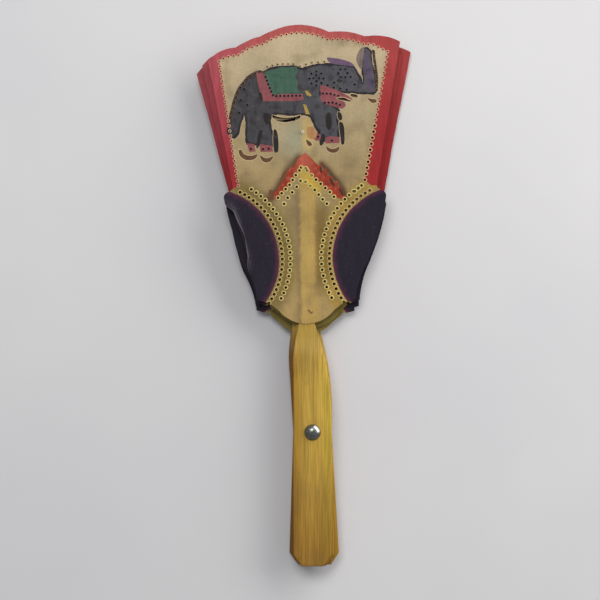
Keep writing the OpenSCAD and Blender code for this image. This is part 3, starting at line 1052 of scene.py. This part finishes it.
def drawn_in(points, k):
    """The rear leaves' lobes are a little narrower than the front one's.

    The left lobe is narrower near its top, and the right lobe of the two at the back all along."""
    x, y = points[:, 0], points[:, 1]
    below_notch = 1 - ramp(y, 124, 127)
    moved = points.copy()
    moved[:, 0] += 2.2 * ramp(y, 88, 110) * below_notch * ramp(-x, 20, 36)
    if k > 3:
        moved[:, 0] -= 3.2 * ramp(y, 66, 84) * below_notch * ramp(x, 16, 32)
    return moved


def make_leaves(material):
    """Five leaves from one template. The rear ones are drawn in, and given an olive painted shade at the
    lip.
    """
    points, tris, numbers, rise = leaf_template()
    colours = leaf_colours(points, tris, numbers)
    for k in range(1, BLADES + 1):
        own, finish, shape = points, colours, curled_lobe
        if k > 1:
            own = np.array(wobbled(drawn_in(points, k).tolist(), 0.3, 30, 20 + k))
            finish = (olive(colours[0], points, tris), *colours[1:])
            shape = None
        lift = cockled(points, k)
        top = HIDE_T + rise + lift
        leaf = plate(f"hide_leaf_{k}", own, tris, top, lift, finish, on_tongue(k, shape), 0.05 * k)
        register(leaf, material, k, f"leaf_{k}")


# ---------------------------------------------------------------- sticks

# The sticks' edges are rounded, and their faces a little higher along the middle
EDGE_R = 0.4
STICK_CROWN = 0.05


def stick_template():
    """The flat stick that all five share, and how far its rounded edge drops at each point."""
    outline = wobbled(divided(stick_outline(), 2), 0.06, 6, 9)
    holes = [circle((0, 0), BORE_R, 32), circle(UPPER_TIE, PEG_R + TIE_PLAY, 12)]
    holes += [circle(place, THREAD_R + TIE_PLAY, 10) for place in LOWER_TIE]
    rings = [inset(outline, depth) for depth in (0.06, 0.17, EDGE_R)]
    lines = [ring + ring[:1] for ring in rings]
    side = HANDLE_W / 2 + 1
    low, high = SCARF_Y[0] - 2, SCARF_Y[1] + 2
    slope = [(-side, low), (side, low), (side, high), (-side, high)]
    points, tris, _ = triangulated(outline, [("bamboo", outline)], holes, lines, 2.2, 11, [slope])
    depth = np.clip(distance(points, outline, closed=True), 0, EDGE_R)
    drop = EDGE_R - np.sqrt(np.maximum(EDGE_R ** 2 - (EDGE_R - depth) ** 2, 0))
    return points, tris, drop


def stick_colour_and_light(points):
    """Bamboo's colour across and along the stick, with brown painted shade at the left and yellow painted
    light near the right edge; darker towards the butt and lighter up the neck.
    """
    x, y = points[:, 0], points[:, 1]
    return washed(np.tile(linear((196, 160, 68)), (len(points), 1)), [
        # painted shade down the left of the face, and painted light near its right edge
        ((160, 116, 34), 0.8 * (1 - ramp(x, -9.5, -4))),
        ((196, 168, 58), 0.8 * ramp(x, 4.5, 8)),
        ((140, 98, 34), 0.85 * (1 - ramp(y, -80, 16))),
        ((186, 154, 74), 0.6 * ramp(y, 30, 55)),
    ])


def stick_edge(points):
    """The darker colour of a stick's cut side."""
    return np.tile(np.append(linear((118, 82, 36)), 1.0), (len(points), 1))


def stick_rgba(points, tris, drop, rear):
    """Corner colours of a stick's face, darker on its rounded edge. The rear sticks get more painted shade
    at their left and painted light at their right.
    """
    corners = tris.ravel()
    places = points[corners]
    rgb = stick_colour_and_light(places)
    if rear:
        # the rear sticks: painted shade on the left, where they show beside the stick in front, and painted
        # light on the right
        rgb = blend(rgb, (116, 76, 26), 0.85 * (1 - ramp(places[:, 0], -9.5, -6)))
        rgb = blend(rgb, (186, 142, 40), 0.6 * ramp(places[:, 0], 5, 8.5))
    rgb = blend(rgb, (112, 70, 24), 0.75 * ramp(drop[corners], 0, 0.6 * EDGE_R))
    return np.column_stack([rgb, np.ones(len(rgb))])


def make_sticks(material):
    """Five sticks from one template, each with its own slight ripple."""
    points, tris, drop = stick_template()
    thick = HANDLE_T + (TONGUE_T - HANDLE_T) * ramp(points[:, 1], *SCARF_Y)
    crown = STICK_CROWN * np.cos(points[:, 0] / HANDLE_W * math.pi)
    low = drop * thick / HANDLE_T
    for k in range(1, BLADES + 1):
        ripple = 0.03 * field(points, 9, 60 + k)
        top = thick - low + np.minimum(ripple, 0) - STICK_CROWN + crown
        front = stick_rgba(points, tris, drop, k > 1)
        back = front.reshape(-1, 3, 4)[:, ::-1].reshape(-1, 4)
        colours = (front, back, stick_edge)
        stick = plate(f"bamboo_stick_{k}", points, tris, top, low, colours, on_blade(k), 0.5 + 0.07 * k)
        register(stick, material, k, f"stick_{k}")


# ---------------------------------------------------------------- rivet, washer and ties

def lathe(name, profile, segments=72):
    """A closed solid of revolution about the rivet's axis from (radius, height) points in millimetres."""
    verts, faces = [], []
    for r, z in profile:
        for i in range(segments):
            a = 2 * math.pi * i / segments
            verts.append((r * math.cos(a) * MM, r * math.sin(a) * MM, z * MM))
    for j in range(len(profile) - 1):
        for i in range(segments):
            a, b = j * segments + i, j * segments + (i + 1) % segments
            faces.append((a, b, b + segments, a + segments))
    if profile[0] != profile[-1]:
        faces.append(tuple(range(segments - 1, -1, -1)))
        faces.append(tuple(range((len(profile) - 1) * segments, len(profile) * segments)))
    return solid(name, verts, faces, 35)


# The rivet's domed head, as points from its edge to its top
DOME_STEPS = 13


def make_rivet(material):
    """A domed head on a rolled edge, a shank, and a tail hammered flat."""
    low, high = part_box("rivet")
    top = high[2] / MM
    head_r = (high[0] - low[0]) / 2 / MM
    seat = top - HEAD_H
    ball = (head_r ** 2 + HEAD_H ** 2) / (2 * HEAD_H)
    dome = [(head_r, seat + 0.25)]
    for i in range(1, DOME_STEPS + 1):
        flat = 0.12 if i == DOME_STEPS else 0
        r = head_r * math.cos(i / DOME_STEPS * math.pi / 2) + flat
        dome.append((r, top - ball + math.sqrt(ball ** 2 - r ** 2)))
    tail = [(TAIL_R - 0.5, 0), (TAIL_R - 0.12, 0.06), (TAIL_R, 0.22), (TAIL_R - 0.1, 0.42)]
    tail += [(TAIL_R - 0.4, TAIL_T), (SHANK_R, TAIL_T)]
    head = [(SHANK_R, seat), (head_r - 0.5, seat), (head_r - 0.1, seat + 0.08)]
    register(lathe("steel_rivet", tail + head + dome), material, BLADES, "rivet")


def make_washer(material):
    """A flat ring with softened edges."""
    low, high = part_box("rear_washer")
    z0, z1 = low[2] / MM, high[2] / MM
    r = (high[0] - low[0]) / 2 / MM
    back = [(BORE_R, z0 + 0.08), (BORE_R + 0.1, z0), (r - 0.2, z0), (r - 0.04, z0 + 0.1), (r, z0 + 0.25)]
    front = [(r - 0.04, z1 - 0.1), (r - 0.2, z1), (BORE_R + 0.1, z1), (BORE_R, z1 - 0.08)]
    washer = lathe("steel_washer", back + front + back[:1])
    register(washer, material, BLADES, "rear_washer")


def tube(path, radius, sides=8):
    """Vertices and faces of a closed tube along a path, in millimetres."""
    pts = [Vector(p) for p in path]
    verts, faces = [], []
    for i, p in enumerate(pts):
        run = (pts[min(i + 1, len(pts) - 1)] - pts[max(i - 1, 0)]).normalized()
        side = run.cross(Vector((0.13, 0.21, 1))).normalized()
        up = side.cross(run)
        r = radius * (0.7 if i in (0, len(pts) - 1) else 1)
        for j in range(sides):
            a = 2 * math.pi * j / sides
            verts.append(tuple(p + r * (math.cos(a) * side + math.sin(a) * up)))
    for i in range(len(pts) - 1):
        for j in range(sides):
            a, b = i * sides + j, i * sides + (j + 1) % sides
            faces.append((a, a + sides, b + sides, b))
    faces.append(tuple(range(sides)))
    faces.append(tuple(range(len(verts) - 1, len(verts) - sides - 1, -1)))
    return verts, faces


def tubes(name, paths, place):
    """One object of several tubes, each given as a path and a radius."""
    verts, faces = [], []
    for path, radius in paths:
        more, quads = tube(path, radius)
        first = len(verts)
        verts += more
        faces += [tuple(first + i for i in quad) for quad in quads]
    return solid(name, place(np.array(verts)).tolist(), faces, 60)


def coil(centre, start_r, end_r, z, turns, rise=0.0):
    """A flat spiral that climbs by rise."""
    steps = int(14 * turns) + 1
    path = []
    for i in range(steps):
        t = i / (steps - 1)
        a = 2 * math.pi * turns * t
        r = start_r + (end_r - start_r) * t
        path.append((centre[0] + r * math.cos(a), centre[1] + r * math.sin(a), z + rise * t))
    return path


def knot_paths():
    """The upper tie: a coiled knot on the leaf, the cord through it, and a flat coil at the back."""
    x, y = UPPER_TIE
    peg = [(x + 0.06 * math.sin(3 * t), y, LEAF_TOP * t) for t in np.linspace(-0.05, 1.08, 8)]
    front = coil(UPPER_TIE, 0.9, 0.36, LEAF_TOP + 0.17, 2.2, 0.05)
    rear = coil(UPPER_TIE, 0.85, 0.3, -0.07, 2)
    return [(front, 0.19), (peg, 0.26), (rear, 0.08)]


def stitch_paths():
    """The lower tie: two threads side by side over the leaf, one behind, and a loose end."""
    (ax, ay), (bx, by) = LOWER_TIE
    paths = []
    for shift in (-0.12, 0.12):
        rising = [(ax + shift, ay + shift, z) for z in (0.1, LEAF_TOP)] + [(ax + shift, ay, LEAF_TOP + 0.2)]
        middle = ((ax + bx) / 2 + shift, (ay + by) / 2 + shift, LEAF_TOP + 0.22)
        falling = [(bx + shift, by, LEAF_TOP + 0.2)] + [(bx + shift, by + shift, z) for z in (LEAF_TOP, 0.1)]
        paths.append((smooth(rising + [middle] + falling, closed=False), 0.13))
    behind = [(ax, ay, 0.1), (ax, ay, -0.06), (bx, by, -0.06), (bx, by, 0.1)]
    end = [(ax, ay, LEAF_TOP + 0.1), (ax + 0.5, ay + 0.5, LEAF_TOP + 0.25)]
    end.append((ax + 0.7, ay + 1.3, LEAF_TOP + 0.2))
    return paths + [(behind, 0.09), (smooth(end, closed=False), 0.1)]


def make_ties(cord, thread):
    """The knotted cord and the stitch that hold each leaf on its tongue."""
    for k in range(1, BLADES + 1):
        tie = tubes(f"cord_knot_{k}", knot_paths(), on_blade(k))
        register(tie, cord, k, f"upper_tie_{k}")
        run = tubes(f"thread_stitch_{k}", stitch_paths(), on_blade(k))
        register(run, thread, k, f"lower_tie_{k}")


# ---------------------------------------------------------------- studio

# What the camera sees, in metres, and its sensor in millimetres
VIEW_CENTRE = (-0.0065, 0.0686)
VIEW_W = 0.3117
CAMERA_HEIGHT = 1.1
SENSOR_W = 36


def make_camera():
    """Straight above the fan, with the whole of it in a square frame."""
    data = bpy.data.cameras.new("camera")
    camera = linked("camera", data)
    camera.location = (*VIEW_CENTRE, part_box("leaf_2")[1][2] + CAMERA_HEIGHT)
    data.sensor_width = SENSOR_W
    data.lens = SENSOR_W * CAMERA_HEIGHT / VIEW_W
    data.clip_start = 0.1
    bpy.context.scene.camera = camera


def make_light(name, place, aim, size, power, colour):
    """A soft rectangular lamp at a place, turned towards aim."""
    data = bpy.data.lights.new(name, "AREA")
    data.shape = "RECTANGLE"
    data.size, data.size_y = size
    data.energy = power
    data.color = colour
    light = linked(name, data)
    light.location = place
    light.rotation_euler = (Vector(aim) - Vector(place)).to_track_quat("-Z", "Y").to_euler()


def make_studio():
    """A wide paper floor, a low window on the right, a softbox overhead and a dim even sky."""
    mesh = bpy.data.meshes.new("floor")
    mesh.from_pydata([(-3, -3, 0), (3, -3, 0), (3, 3, 0), (-3, 3, 0)], [], [(0, 1, 2, 3)])
    floor = linked("floor", mesh)
    floor.data.materials.append(floor_material())
    make_light("window", (0.86, 0.66, 0.32), (-0.02, 0.08, 0.03), (1.6, 0.7), 20, (1, 0.985, 0.96))
    make_light("softbox", (-0.25, 0.75, 1.15), (-0.05, 0.14, 0), (0.8, 0.6), 8, (1, 0.99, 0.97))
    world = bpy.data.worlds.new("studio")
    world.use_nodes = True
    sky = world.node_tree.nodes["Background"].inputs
    sky["Color"].default_value = (0.9, 0.93, 1, 1)
    sky["Strength"].default_value = 0.31
    bpy.context.scene.world = world
    bpy.context.scene.view_settings.view_transform = "Standard"


make_camera()
make_studio()
make_leaves(hide_material())
make_sticks(bamboo_material())
STEEL = steel_material()
make_rivet(STEEL)
make_washer(STEEL)
make_ties(cord_material("waxed_cord", (0.42, 0.34, 0.20, 1), (0.72, 0.64, 0.46, 1)),
          cord_material("dark_thread", (0.07, 0.04, 0.02, 1), (0.20, 0.12, 0.06, 1)))
